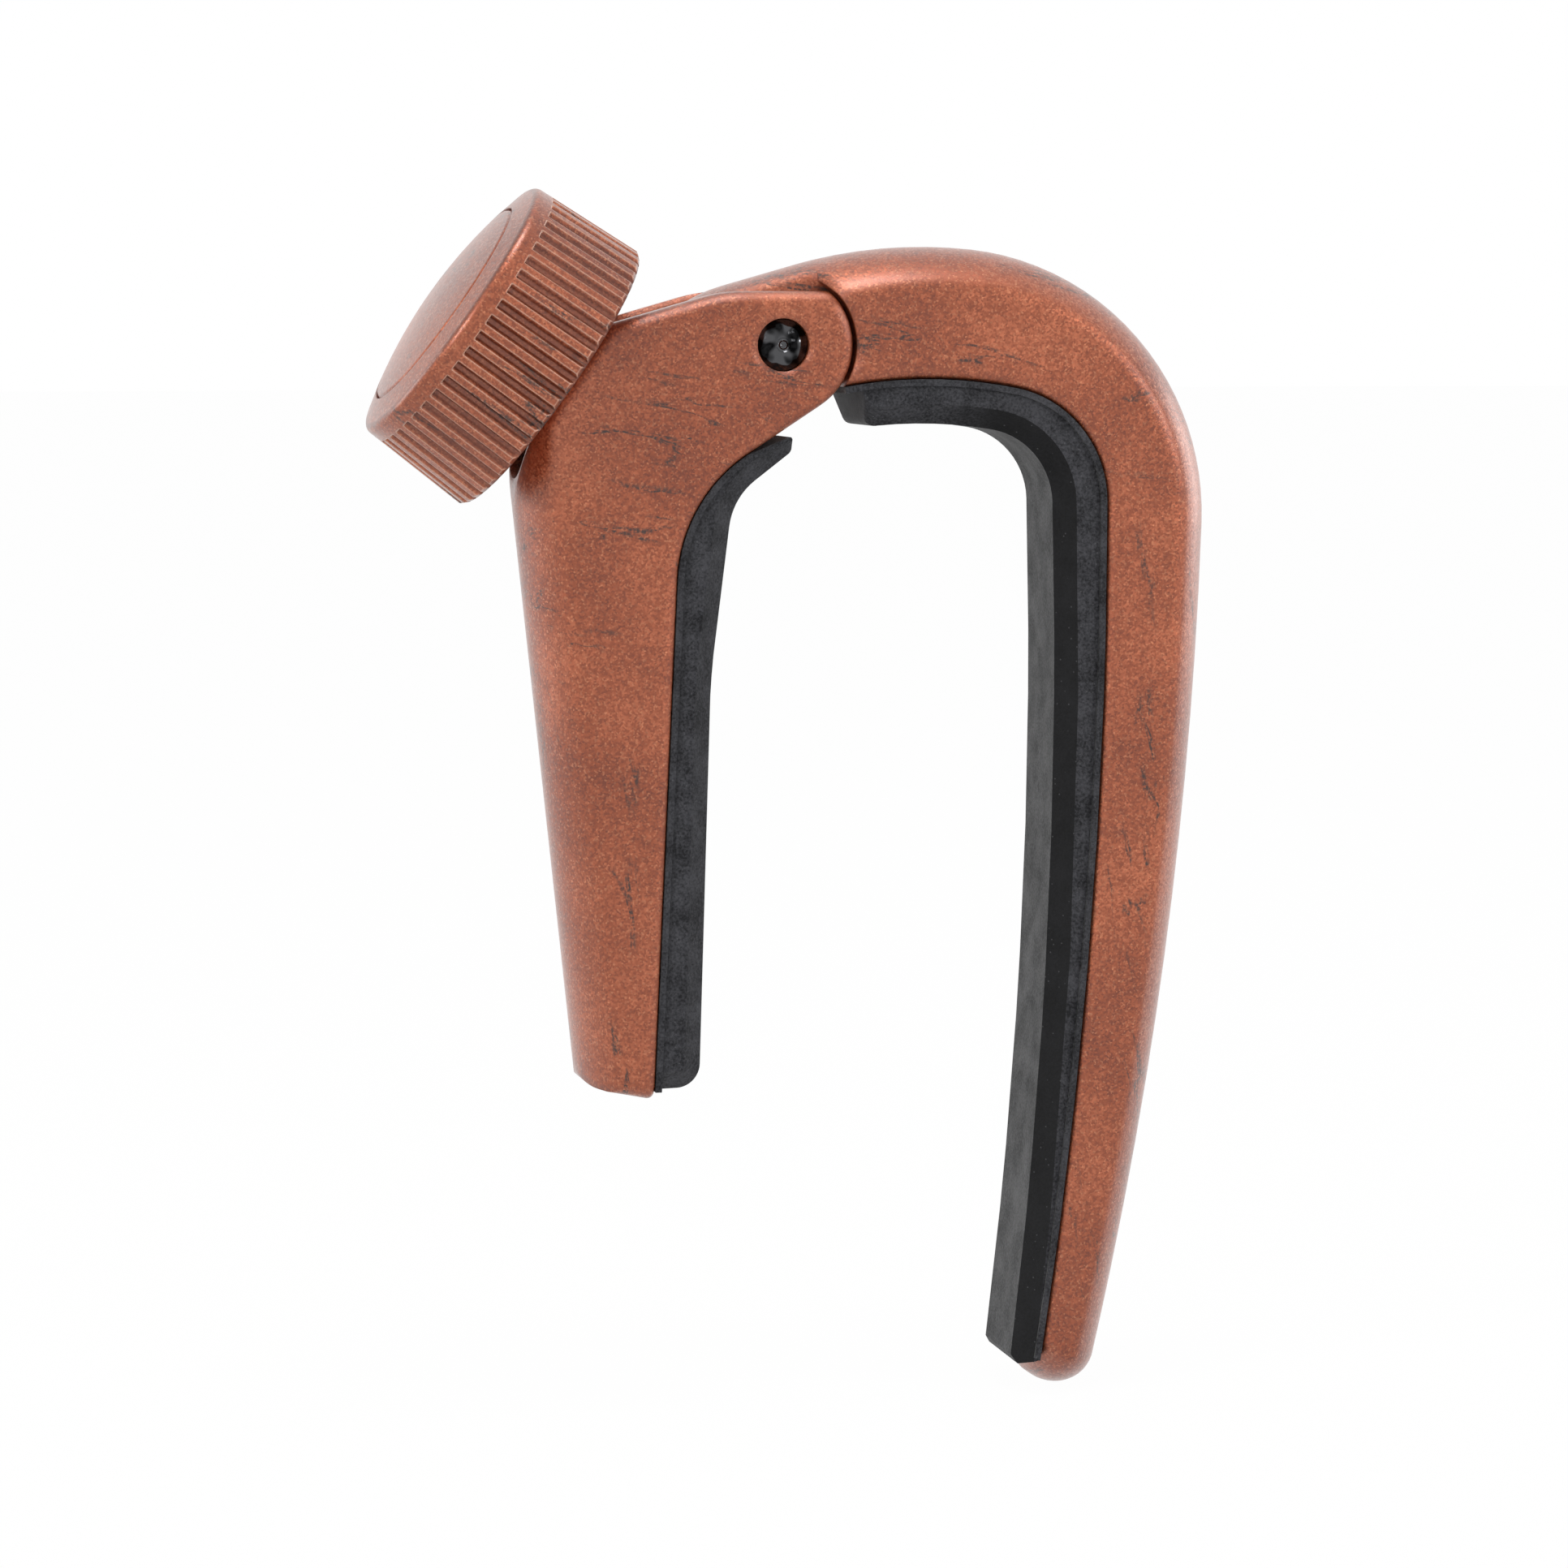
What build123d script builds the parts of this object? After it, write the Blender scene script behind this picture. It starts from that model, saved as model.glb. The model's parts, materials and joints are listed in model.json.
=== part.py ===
from build123d import *
from math import acos, asin, cos, degrees, hypot, radians, sin
import os

# Screw-knob guitar capo. Millimetres, +Z up, X from the neck pad to the string pad, Y across the
# strings. The origin is the centre of the string pad's pressing face.

# ---- pivot and common widths ---------------------------------------------------------------------
hinge_x = -20.45           # pivot axis from the origin
hinge_z = 43.0
body_width = 11.0          # frame and jaw, over their flat sides
tongue_width = 6.0         # frame tongue between the ears of the jaw
hinge_washer_thickness = 0.3
side_play = 0.05           # washer to fork wall, each side
bore_play = 0.03           # pin in its bores, radial

# ---- hinge pin -----------------------------------------------------------------------------------
pin_radius = 1.5
pin_head_radius = 1.85
pin_head_height = 0.8
pin_counterbore_depth = 0.9
pin_head_play = 0.08

# ---- frame ---------------------------------------------------------------------------------------
shoulder_radius = 5.5      # hollow of the frame round the ears
shoulder_edge = 3.0        # where the hollow opens through the crown, from the pivot
arch_start = (2.0, 5.8)    # top of the shoulder, from the pivot
arch_heading = 15.8
arch_radius, arch_sweep = 35.2, 21.8
saddle_length = 5.6        # straight top of the tongue behind the shoulder
saddle_radius, saddle_sweep = 11.0, 40.0
corner_radius, corner_sweep = 19.75, 85.75
arm_radius, arm_sweep = 320.0, 11.28
tip_radius, tip_sweep = 3.0, 112.0
outer_crown = 2.7          # bulge of the outside across its width
outer_edge_rounding = 0.6
inner_rounding = 0.7
roof_bearing = -33.6       # where the inside of the arch leaves the shoulder hollow
roof_heading = 10.3
roof_radius, roof_sweep = 34.4, 21.65
inner_corner_radius, inner_corner_sweep = 8.6, 78.4
fret_radius, fret_sweep = 403.7, 9.2

# ---- jaw -----------------------------------------------------------------------------------------
ear_radius = 5.2
ear_top = 3.88             # flat on top of the ears, above the pivot
neck_line_heading = 213.0  # leaves the ear tangentially
neck_line_length = 6.5
neck_curve_radius, neck_curve_sweep = 11.4, 54.3
jaw_bottom = -54.9
back_tilt = 6.04           # back of the jaw off the vertical
back_point = (-18.9, -12.1)
back_crown = 2.4           # bulge of the back across its width
back_edge_rounding = 1.2
top_point = (-5.5, 3.52)   # sloping top of the fork
top_heading = 195.9
bottom_heading = 168.8
ear_edge_rounding = 0.45
fork_edge_rounding = 1.1
seat_back_rounding = 12.5
seat_top_rounding = 1.5
slope_rounding = 12.0
heel_rounding = 1.3

# ---- knob, screw and nut -------------------------------------------------------------------------
screw_tilt = 35.2          # screw axis below the horizontal, running inwards and down
lever_arm = 11.35          # pivot to screw axis
knob_base = 11.8           # pivot to base of the knob, along the screw axis
seat_gap = 0.3             # base of the knob to the seat on the fork
washer_gap = 0.15          # thrust washer to the seat with the screw backed off
knob_base_radius = 11.2
knob_rim_radius = 10.7
knob_height = 8.9
knob_dome = 1.6
knob_rim_rounding = 0.6
knob_base_chamfer = 0.3
rib_count = 50
groove_depth = 0.34
groove_mouth, groove_floor = 0.84, 0.3
groove_stop = 1.3          # plain band left at the rim
cap_radius = 8.4
cap_seat_depth = 1.2
cap_chamfer = 0.3
press_play = 0.02
washer_radius, washer_bore, washer_thickness = 5.5, 2.15, 1.0
washer_recess_play = 0.15
screw_radius = 2.0
screw_length = 9.7         # from the base of the knob
screw_head_flats, screw_head_height = 7.0, 2.8
thread_play = 0.05
nut_radius = 3.0
nut_depth = 6.5            # base of the knob to the nut centre
nut_play = 0.05
tail_radius = 4.1
hub_radius = 3.8
swing_open, swing_closed = 6.0, 10.0
swing_play = 0.35
mouth_bottom = -9.7        # lower end of the slot in the back of the jaw

# ---- pads ----------------------------------------------------------------------------------------
pad_head = (5.98, -3.32)   # end of the string pad beside the ears, from the pivot
pad_start = (5.94, -6.07)
pad_roof_heading = 7.65
pad_roof_radius, pad_roof_sweep = 34.0, 16.95
pad_corner_radius, pad_corner_sweep = 5.6, 78.9
pad_fret_radius, pad_fret_sweep = 412.7, 8.85
pad_flange = 0.5
pad_flange_width = 10.8
pad_width = 10.3
pad_bevel = 1.45
pad_bond = 0.02            # adhesive film
pad_toe = (18.15, -75.8)   # lower end of the string pad
neck_pad_start = 2.7       # from the lower end of the ear
neck_pad_bottom = -54.3
neck_face = ((0.95, -7.72), (-3.39, -11.13), (-5.05, -24.0), (-5.95, -54.2))
neck_face_rounding = (5.0, 60.0, 1.8)  # all but the first

# ---- opening spring ------------------------------------------------------------------------------
spring_wire = 0.5
spring_radius = 2.3
spring_turns = 2.75
spring_pitch = 0.52
spring_leg_bearing = 240   # direction of the leg that pushes on the jaw
spring_leg = 3.6           # leg in the tongue
spring_reach = 5.5         # leg to the jaw
spring_hook = 1.5          # bent end in the wall of the fork
spring_pocket_radius = 2.85
spring_pocket_depth = 2.1

side = Plane(origin=(hinge_x, 0, hinge_z), x_dir=(1, 0, 0), z_dir=(0, -1, 0))
half_body = body_width / 2
half_tongue = tongue_width / 2
half_fork = half_tongue + hinge_washer_thickness + side_play


def polar(radius, bearing, centre=(0, 0)):
    """Point at a distance and bearing (degrees) from a centre, in the side view."""
    angle = radians(bearing)
    return (centre[0] + radius * cos(angle), centre[1] + radius * sin(angle))


def meet(p, p_heading, q, q_heading):
    """Crossing point of two lines, each given by a point and a heading."""
    px, pz = cos(radians(p_heading)), sin(radians(p_heading))
    qx, qz = cos(radians(q_heading)), sin(radians(q_heading))
    run = ((q[0] - p[0]) * qz - (q[1] - p[1]) * qx) / (px * qz - pz * qx)
    return (p[0] + run * px, p[1] + run * pz)


def belt(p, p_radius, q, q_radius):
    """Four tangent points of a belt round two circles."""
    span = hypot(q[0] - p[0], q[1] - p[1])
    line = degrees(acos((q[0] - p[0]) / span)) * (1 if q[1] >= p[1] else -1)
    lean = degrees(acos((p_radius - q_radius) / span))
    return [
        polar(p_radius, line + lean, p),
        polar(q_radius, line + lean, q),
        polar(q_radius, line - lean, q),
        polar(p_radius, line - lean, p),
    ]


# Screw axis, base of the knob and centre of the barrel nut in the side view.
screw_heading = -screw_tilt
across_heading = screw_heading - 90
foot = polar(lever_arm, across_heading)
knob_foot = polar(knob_base, screw_heading + 180, foot)
nut_centre = polar(nut_depth, screw_heading, knob_foot)
seat_point = polar(knob_base - seat_gap, screw_heading + 180)
nut_reach = hypot(*nut_centre)
nut_bearing = 180 + degrees(acos(-nut_centre[0] / nut_reach))
inward = Vector(cos(radians(screw_tilt)), 0, -sin(radians(screw_tilt)))
knob_plane = Plane(
    origin=(hinge_x + knob_foot[0], 0, hinge_z + knob_foot[1]), x_dir=(0, 1, 0), z_dir=-inward
)

# End of the spring leg that pushes on the jaw.
leg_side = polar(spring_radius, spring_leg_bearing - 90)
leg_end = polar(spring_reach - spring_wire, spring_leg_bearing, leg_side)
leg_reach = hypot(*leg_end)
leg_bearing = 180 + degrees(acos(-leg_end[0] / leg_reach))
spring_floor = half_tongue - spring_pocket_depth + 0.6 * spring_wire

# Top of the tongue, behind the shoulder of the frame.
saddle_start = polar(-saddle_length, arch_heading, arch_start)
saddle_centre = polar(saddle_radius, arch_heading - 90, saddle_start)
saddle_end = polar(saddle_radius, arch_heading + 90 + saddle_sweep, saddle_centre)

# ---- frame ---------------------------------------------------------------------------------------
with BuildPart() as frame:
    # solid blank under the outside line, from the tongue round to the tip
    with BuildSketch(side):
        with BuildLine():
            with BuildLine() as outside:
                saddle = JernArc(
                    saddle_end, polar(1, arch_heading + saddle_sweep), saddle_radius, -saddle_sweep
                )
                lead = Line(saddle @ 1, arch_start)
                arch = JernArc(lead @ 1, lead % 1, arch_radius, -arch_sweep)
                corner = JernArc(arch @ 1, arch % 1, corner_radius, -corner_sweep)
                arm = JernArc(corner @ 1, corner % 1, arm_radius, -arm_sweep)
                tip = JernArc(arm @ 1, arm % 1, tip_radius, -tip_sweep)
                end = Line(tip @ 1, tip @ 1 + (tip % 1) * 2.5 * tip_radius)
            below = saddle @ 0 - (0, 3 * shoulder_radius)
            Polyline(end @ 1, ((end @ 1).X, below.Y), below, saddle @ 0)
        make_face()
    extrude(amount=half_body, both=True)
    # outside crowned across its width
    outside_path = side * outside.line
    with BuildSketch(Plane(origin=outside_path @ 0, x_dir=(0, 1, 0), z_dir=outside_path % 0)):
        with BuildLine():
            ThreePointArc((-half_body, -outer_crown), (0, 0), (half_body, -outer_crown))
            Polyline(
                (half_body, -outer_crown),
                (half_body + 1, -outer_crown),
                (half_body + 1, 1),
                (-half_body - 1, 1),
                (-half_body - 1, -outer_crown),
                (-half_body, -outer_crown),
            )
        make_face()
    sweep(path=outside_path, mode=Mode.SUBTRACT)
    crown_edges = frame.edges().filter_by(GeomType.CIRCLE).filter_by(
        lambda e: abs(abs(e.center().Y) - half_body) < 0.01
    )
    fillet(crown_edges, outer_edge_rounding)
    # space for the neck and the string pad
    with BuildSketch(side):
        with BuildLine():
            roof = JernArc(
                polar(shoulder_radius, roof_bearing), polar(1, roof_heading), roof_radius, -roof_sweep
            )
            bend = JernArc(roof @ 1, roof % 1, inner_corner_radius, -inner_corner_sweep)
            fret = JernArc(bend @ 1, bend % 1, fret_radius, -fret_sweep)
            lip = fret @ 1 + (fret % 1) * 8
            far = (-4 * shoulder_radius, lip.Y)
            near = (far[0], (roof @ 0).Y)
            Polyline(fret @ 1, lip, far, near, roof @ 0)
        make_face()
    extrude(amount=body_width, both=True, mode=Mode.SUBTRACT)
    neck_radii = (roof_radius, inner_corner_radius, fret_radius)
    neck_edges = frame.edges().filter_by(GeomType.CIRCLE).filter_by(
        lambda e: min(abs(e.radius - r) for r in neck_radii) < 0.01
        and abs(abs(e.center().Y) - half_body) < 0.01
    )
    fillet(neck_edges, inner_rounding)
    # everything behind the shoulder goes but the tongue
    with BuildSketch(side):
        Circle(shoulder_radius)
        with Locations((shoulder_edge, 0)):
            Rectangle(8 * shoulder_radius, 6 * shoulder_radius, align=(Align.MAX, Align.CENTER))
        Circle(hub_radius, mode=Mode.SUBTRACT)
        Polygon(
            (0, 0),
            polar(tail_radius, 150, nut_centre),
            saddle_end,
            (saddle_end[0], 3 * shoulder_radius),
            (2 * shoulder_radius, 3 * shoulder_radius),
            (2 * shoulder_radius, 0),
            polar(shoulder_radius, roof_bearing),
            polar(hub_radius, roof_bearing - 4),
            align=None,
            mode=Mode.SUBTRACT,
        )
    extrude(amount=body_width, both=True, mode=Mode.SUBTRACT)
    # hollows for the ears of the jaw
    for face_side in (1, -1):
        with BuildSketch(side.offset(face_side * half_tongue)):
            Circle(shoulder_radius)
            with Locations((shoulder_edge, 0)):
                Rectangle(8 * shoulder_radius, 6 * shoulder_radius, align=(Align.MAX, Align.CENTER))
        extrude(amount=face_side * body_width, mode=Mode.SUBTRACT)
    # pivot hub and the tail that holds the barrel nut
    with BuildSketch(side):
        Circle(hub_radius)
        with Locations(nut_centre):
            Circle(tail_radius)
        Polygon(*belt((0, 0), hub_radius, nut_centre, tail_radius), align=None)
    extrude(amount=half_tongue, both=True)
    # pin bore, nut bore and the fan in which the screw swings
    with BuildSketch(side):
        Circle(pin_radius + bore_play)
        with Locations(nut_centre):
            Circle(nut_radius + nut_play)
    extrude(amount=half_tongue, both=True, mode=Mode.SUBTRACT)
    fan_half = screw_radius + 0.2
    with BuildSketch(side):
        for turn in (-swing_open, 0, swing_closed / 2, swing_closed):
            with Locations(Location((*nut_centre, 0), (0, 0, screw_heading + turn))):
                Rectangle(4 * tail_radius, 2 * fan_half)
    extrude(amount=fan_half, both=True, mode=Mode.SUBTRACT)
    # pocket and leg slots of the opening spring
    with BuildSketch(side.offset(half_tongue - spring_pocket_depth)):
        Circle(spring_pocket_radius)
        leg_start = polar(spring_radius, spring_leg_bearing)
        with Locations(Location((*leg_start, 0), (0, 0, spring_leg_bearing - 90))):
            Rectangle(spring_leg + spring_wire, 1.4 * spring_wire, align=(Align.MIN, Align.CENTER))
    extrude(amount=spring_pocket_depth, mode=Mode.SUBTRACT)
    with BuildSketch(side.offset(half_tongue - 2 * spring_wire)):
        Polygon(
            polar(spring_radius, spring_leg_bearing - 80),
            polar(leg_reach + 1, leg_bearing - swing_closed - 8),
            polar(leg_reach + 1, leg_bearing + swing_open + 8),
            polar(spring_radius, spring_leg_bearing - 20),
            align=None,
        )
    extrude(amount=2 * spring_wire, mode=Mode.SUBTRACT)
frame.part.label = "frame"
export_step(frame.part, "parts/frame.step")

# ---- jaw -----------------------------------------------------------------------------------------
back_heading = 270 + back_tilt
slope_bend = meet((0, ear_top), 180, top_point, top_heading)
seat_top = meet(top_point, top_heading, seat_point, across_heading)
seat_back = meet(seat_point, across_heading, back_point, back_heading)
neck_line_start = neck_line_heading - 270
neck_line_end = polar(neck_line_length, neck_line_heading, polar(ear_radius, neck_line_start))
with BuildPart() as jaw:
    with BuildSketch(side) as jaw_outline:
        with BuildLine():
            neck_line = Line(polar(ear_radius, neck_line_start), neck_line_end)
            neck_curve = JernArc(
                neck_line @ 1, neck_line % 1, neck_curve_radius, neck_curve_sweep
            )
            drop = ((neck_curve @ 1).Y - jaw_bottom) / -(neck_curve % 1).Y
            neck_side = Line(neck_curve @ 1, neck_curve @ 1 + (neck_curve % 1) * drop)
            heel = meet(tuple(neck_side @ 1)[:2], bottom_heading, back_point, back_heading)
            ear_end = degrees(acos(ear_top / ear_radius))
            Polyline(
                neck_side @ 1, heel, seat_back, seat_top, slope_bend, polar(ear_radius, 90 - ear_end)
            )
            CenterArc((0, 0), ear_radius, neck_line_start, 90 - ear_end - neck_line_start)
        make_face()
        for corner_point, corner_rounding in (
            (seat_back, seat_back_rounding),
            (seat_top, seat_top_rounding),
            (slope_bend, slope_rounding),
            (heel, heel_rounding),
        ):
            fillet(jaw_outline.vertices().sort_by_distance(Vector(*corner_point))[0], corner_rounding)
    extrude(amount=half_body, both=True)
    rim = jaw.edges().filter_by(lambda e: abs(abs(e.center().Y) - half_body) < 0.01)
    fillet(rim.filter_by(lambda e: abs(e.center().Z - hinge_z - ear_top) < 0.01), fork_edge_rounding)
    rim = jaw.edges().filter_by(GeomType.CIRCLE).filter_by(
        lambda e: abs(abs(e.center().Y) - half_body) < 0.01 and abs(e.radius - ear_radius) < 0.01
    )
    fillet(rim, ear_edge_rounding)
    # crowned back
    back_plane = Plane(
        origin=(hinge_x + back_point[0], 0, hinge_z + back_point[1]),
        x_dir=(cos(radians(back_tilt)), 0, sin(radians(back_tilt))),
        z_dir=(-sin(radians(back_tilt)), 0, cos(radians(back_tilt))),
    )
    with BuildSketch(back_plane.offset(-10 * ear_radius)):
        with BuildLine():
            crown = ThreePointArc((back_crown, -half_body), (0, 0), (back_crown, half_body))
            deep = 8 * ear_radius
            Polyline(
                (back_crown, half_body),
                (deep, half_body),
                (deep, -half_body),
                (back_crown, -half_body),
            )
        section = make_face()
        fillet(section.vertices().sort_by(Axis.X)[:2], back_edge_rounding)
    extrude(amount=16 * ear_radius, mode=Mode.INTERSECT)
    # fork slot: hub, swing of the tail, open along the top and out through the back
    tail_low = polar(nut_reach, nut_bearing + swing_open)
    pocket_radius = tail_radius + 0.4
    hub_room = hub_radius + 0.25
    reach = nut_reach + pocket_radius
    mouth_centre = mouth_bottom + half_fork
    mouth_edge = degrees(acos(mouth_centre / reach))
    with BuildSketch(side):
        Circle(hub_room)
        with Locations(tail_low):
            Circle(pocket_radius)
        Polygon(*belt((0, 0), hub_room, tail_low, pocket_radius), align=None)
        Polygon(
            (0, 0),
            tail_low,
            polar(reach, nut_bearing + swing_open),
            polar(reach, 90 + mouth_edge),
            (-2 * reach, mouth_centre),
            (-2 * reach, reach),
            (reach, reach),
            polar(reach, neck_line_start + 9),
            align=None,
        )
    extrude(amount=half_fork, both=True, mode=Mode.SUBTRACT)
    with BuildSketch(Plane.YZ.offset(hinge_x - 2 * reach)):
        with Locations((0, hinge_z + mouth_centre)):
            Circle(half_fork)
    extrude(amount=1.25 * reach, mode=Mode.SUBTRACT)
    # pin bores and counterbores
    with BuildSketch(side):
        Circle(pin_radius + bore_play)
    extrude(amount=body_width, both=True, mode=Mode.SUBTRACT)
    for face_side in (1, -1):
        with BuildSketch(side.offset(face_side * half_body)):
            Circle(pin_head_radius + pin_head_play)
        extrude(amount=-face_side * pin_counterbore_depth, mode=Mode.SUBTRACT)
    # hole for the hooked end of the opening spring
    with BuildSketch(side.offset(half_fork - 0.1)):
        with Locations(leg_end):
            Circle(0.7 * spring_wire)
    extrude(amount=spring_hook, mode=Mode.SUBTRACT)
jaw.part.label = "jaw"
export_step(jaw.part, "parts/jaw.step")

# ---- pads ----------------------------------------------------------------------------------------
half_pad = pad_width / 2
half_flange = pad_flange_width / 2


def string_side(inset, sweep):
    """Inside of the arch and string arm, set in by a distance, as tangent arcs."""
    start = polar(inset, roof_heading - 90, polar(shoulder_radius, roof_bearing))
    first = JernArc(start, polar(1, roof_heading), roof_radius - inset, -roof_sweep)
    turn = JernArc(first @ 1, first % 1, inner_corner_radius - inset, -inner_corner_sweep)
    last = JernArc(turn @ 1, turn % 1, fret_radius - inset, -sweep)
    return first @ 0, last @ 1


def string_face():
    """Pressing face of the string pad: under the arch, round the corner and down the arm."""
    first = JernArc(pad_start, polar(1, pad_roof_heading), pad_roof_radius, -pad_roof_sweep)
    turn = JernArc(first @ 1, first % 1, pad_corner_radius, -pad_corner_sweep)
    last = JernArc(turn @ 1, turn % 1, pad_fret_radius, -pad_fret_sweep)
    return first @ 0, last @ 1


def neck_side_line(inset, bottom):
    """Inside of the jaw, set in by a distance, as line, arc and line."""
    start = polar(neck_pad_start, neck_line_heading, polar(ear_radius, neck_line_start))
    start = polar(inset, neck_line_heading + 90, start)
    first = Line(start, polar(neck_line_length - neck_pad_start, neck_line_heading, start))
    turn = JernArc(first @ 1, first % 1, neck_curve_radius - inset, neck_curve_sweep)
    last = Line(turn @ 1, turn @ 1 + (turn % 1) * (((turn @ 1).Y - bottom) / -(turn % 1).Y))
    return first @ 0, last @ 1


with BuildPart() as string_pad:
    with BuildSketch(side) as string_outline:
        with BuildLine():
            back_start, back_end = string_side(pad_bond, fret_sweep - 0.1)
            face_start, face_end = string_face()
            Polyline(back_end, pad_toe, face_end)
            Polyline(face_start, pad_head, back_start)
        make_face()
    extrude(amount=half_pad, both=True)
    string_face_radii = (pad_roof_radius, pad_corner_radius, pad_fret_radius)
    string_edges = string_pad.edges().filter_by(GeomType.CIRCLE).filter_by(
        lambda e: min(abs(e.radius - r) for r in string_face_radii) < 0.01
        and abs(abs(e.center().Y) - half_pad) < 0.01
    )
    chamfer(string_edges, pad_bevel)
    with BuildSketch(side):
        with BuildLine():
            back_start, back_end = string_side(pad_bond, fret_sweep - 0.1)
            flange_start, flange_end = string_side(pad_flange, fret_sweep - 0.12)
            Line(back_end, flange_end)
            Line(back_start, flange_start)
        make_face()
    extrude(amount=half_flange, both=True)
string_pad.part.label = "string_pad"
export_step(string_pad.part, "parts/string_pad.step")

with BuildPart() as neck_pad:
    with BuildSketch(side) as neck_outline:
        with BuildLine():
            back_start, back_end = neck_side_line(pad_bond, neck_pad_bottom)
            Polyline(back_start, *neck_face, back_end)
        make_face()
        for corner_point, corner_rounding in zip(neck_face[1:], neck_face_rounding):
            fillet(neck_outline.vertices().sort_by_distance(Vector(*corner_point))[0], corner_rounding)
    extrude(amount=half_pad, both=True)
    neck_edges = neck_pad.edges().filter_by(
        lambda e: abs(abs(e.center().Y) - half_pad) < 0.01
        and (e.center() - Vector(hinge_x, e.center().Y, hinge_z)).X > neck_face[1][0] * 1.3
        and e.center().Z - hinge_z < neck_face[0][1] - 0.2
    )
    chamfer(neck_edges, pad_bevel)
    with BuildSketch(side):
        with BuildLine():
            back_start, back_end = neck_side_line(pad_bond, neck_pad_bottom)
            flange_start, flange_end = neck_side_line(pad_flange, neck_pad_bottom)
            Line(back_end, flange_end)
            Line(back_start, flange_start)
        make_face()
    extrude(amount=half_flange, both=True)
neck_pad.part.label = "neck_pad"
export_step(neck_pad.part, "parts/neck_pad.step")

# ---- hinge pin and washers -----------------------------------------------------------------------
pin_seat = half_body - pin_counterbore_depth
pin_top = pin_seat + pin_head_height
pin_dome_height = pin_head_height / 2
pin_dome_radius = (pin_head_radius**2 + pin_dome_height**2) / (2 * pin_dome_height)
pin_dome_sweep = degrees(asin(pin_head_radius / pin_dome_radius))
with BuildPart() as hinge_pin:
    with BuildSketch(Plane(origin=(hinge_x, 0, hinge_z), x_dir=(1, 0, 0), z_dir=(0, 0, 1))):
        with BuildLine():
            Polyline(
                (0, pin_top),
                (0, 0),
                (pin_radius, 0),
                (pin_radius, pin_seat),
                (pin_head_radius, pin_seat),
                (pin_head_radius, pin_top - pin_dome_height),
            )
            CenterArc((0, pin_top - pin_dome_radius), pin_dome_radius, 90 - pin_dome_sweep, pin_dome_sweep)
        make_face()
    revolve(axis=Axis((hinge_x, 0, hinge_z), (0, 1, 0)))
    mirror(about=Plane.XZ)
hinge_pin.part.label = "hinge_pin"
export_step(hinge_pin.part, "parts/hinge_pin.step")

with BuildPart() as hinge_washer_front:
    with BuildSketch(side.offset(half_tongue)):
        Circle(hub_radius - 0.3)
        Circle(pin_radius + pin_head_play, mode=Mode.SUBTRACT)
    extrude(amount=hinge_washer_thickness)
hinge_washer_front.part.label = "hinge_washer_front"
export_step(hinge_washer_front.part, "parts/hinge_washer_front.step")

with BuildPart() as hinge_washer_back:
    add(hinge_washer_front.part)
    mirror(about=Plane.XZ, mode=Mode.REPLACE)
hinge_washer_back.part.label = "hinge_washer_back"
export_step(hinge_washer_back.part, "parts/hinge_washer_back.step")

# ---- opening spring ------------------------------------------------------------------------------
spring_plane = Plane(
    origin=(hinge_x, -spring_floor, hinge_z),
    x_dir=(cos(radians(spring_leg_bearing)), 0, sin(radians(spring_leg_bearing))),
    z_dir=(0, -1, 0),
)
spring_height = spring_turns * spring_pitch
coil = spring_plane * Helix(spring_pitch, spring_height, spring_radius)
with BuildPart() as opening_spring:
    with BuildSketch(Plane(origin=coil @ 0, z_dir=coil % 0)):
        RegularPolygon(spring_wire / 2, 8)
    sweep(path=coil, is_frenet=True)
    with Locations(spring_plane):
        with Locations(Location((spring_radius, 0.4 * spring_wire, 0), (90, 0, 0))):
            Cylinder(0.49 * spring_wire, spring_leg, align=(Align.CENTER, Align.CENTER, Align.MIN))
        with Locations(Location((-0.4 * spring_wire, -spring_radius, spring_height), (0, 90, 0))):
            Cylinder(0.49 * spring_wire, spring_reach, align=(Align.CENTER, Align.CENTER, Align.MIN))
        with Locations((spring_reach - spring_wire, -spring_radius, spring_height)):
            Cylinder(0.48 * spring_wire, spring_hook, align=(Align.CENTER, Align.CENTER, Align.MIN))
opening_spring.part.label = "opening_spring"
export_step(opening_spring.part, "parts/opening_spring.step")

# ---- barrel nut, thrust washer and screw ---------------------------------------------------------
with BuildPart() as barrel_nut:
    with BuildSketch(side):
        with Locations(nut_centre):
            Circle(nut_radius)
    extrude(amount=half_tongue - side_play, both=True)
    chamfer(barrel_nut.edges().filter_by(GeomType.CIRCLE), 0.3)
    with BuildSketch(knob_plane.offset(-nut_depth)):
        Circle(screw_radius + thread_play)
    extrude(amount=2 * nut_radius, both=True, mode=Mode.SUBTRACT)
barrel_nut.part.label = "barrel_nut"
export_step(barrel_nut.part, "parts/barrel_nut.step")

washer_top = washer_thickness - (seat_gap - washer_gap)
with BuildPart() as thrust_washer:
    with BuildSketch(knob_plane.offset(washer_top)):
        Circle(washer_radius)
        Circle(washer_bore, mode=Mode.SUBTRACT)
    extrude(amount=-washer_thickness)
thrust_washer.part.label = "thrust_washer"
export_step(thrust_washer.part, "parts/thrust_washer.step")

with BuildPart() as clamp_screw:
    with BuildSketch(knob_plane.offset(washer_top)):
        RegularPolygon(screw_head_flats / 2, 6, major_radius=False)
    extrude(amount=screw_head_height)
    with BuildSketch(knob_plane.offset(washer_top)):
        Circle(screw_radius)
    extrude(amount=-washer_top - screw_length)
    screw_circles = clamp_screw.edges().filter_by(GeomType.CIRCLE)
    chamfer(screw_circles.sort_by_distance(frame.part.center())[0], 0.3)
clamp_screw.part.label = "clamp_screw"
export_step(clamp_screw.part, "parts/clamp_screw.step")

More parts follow.
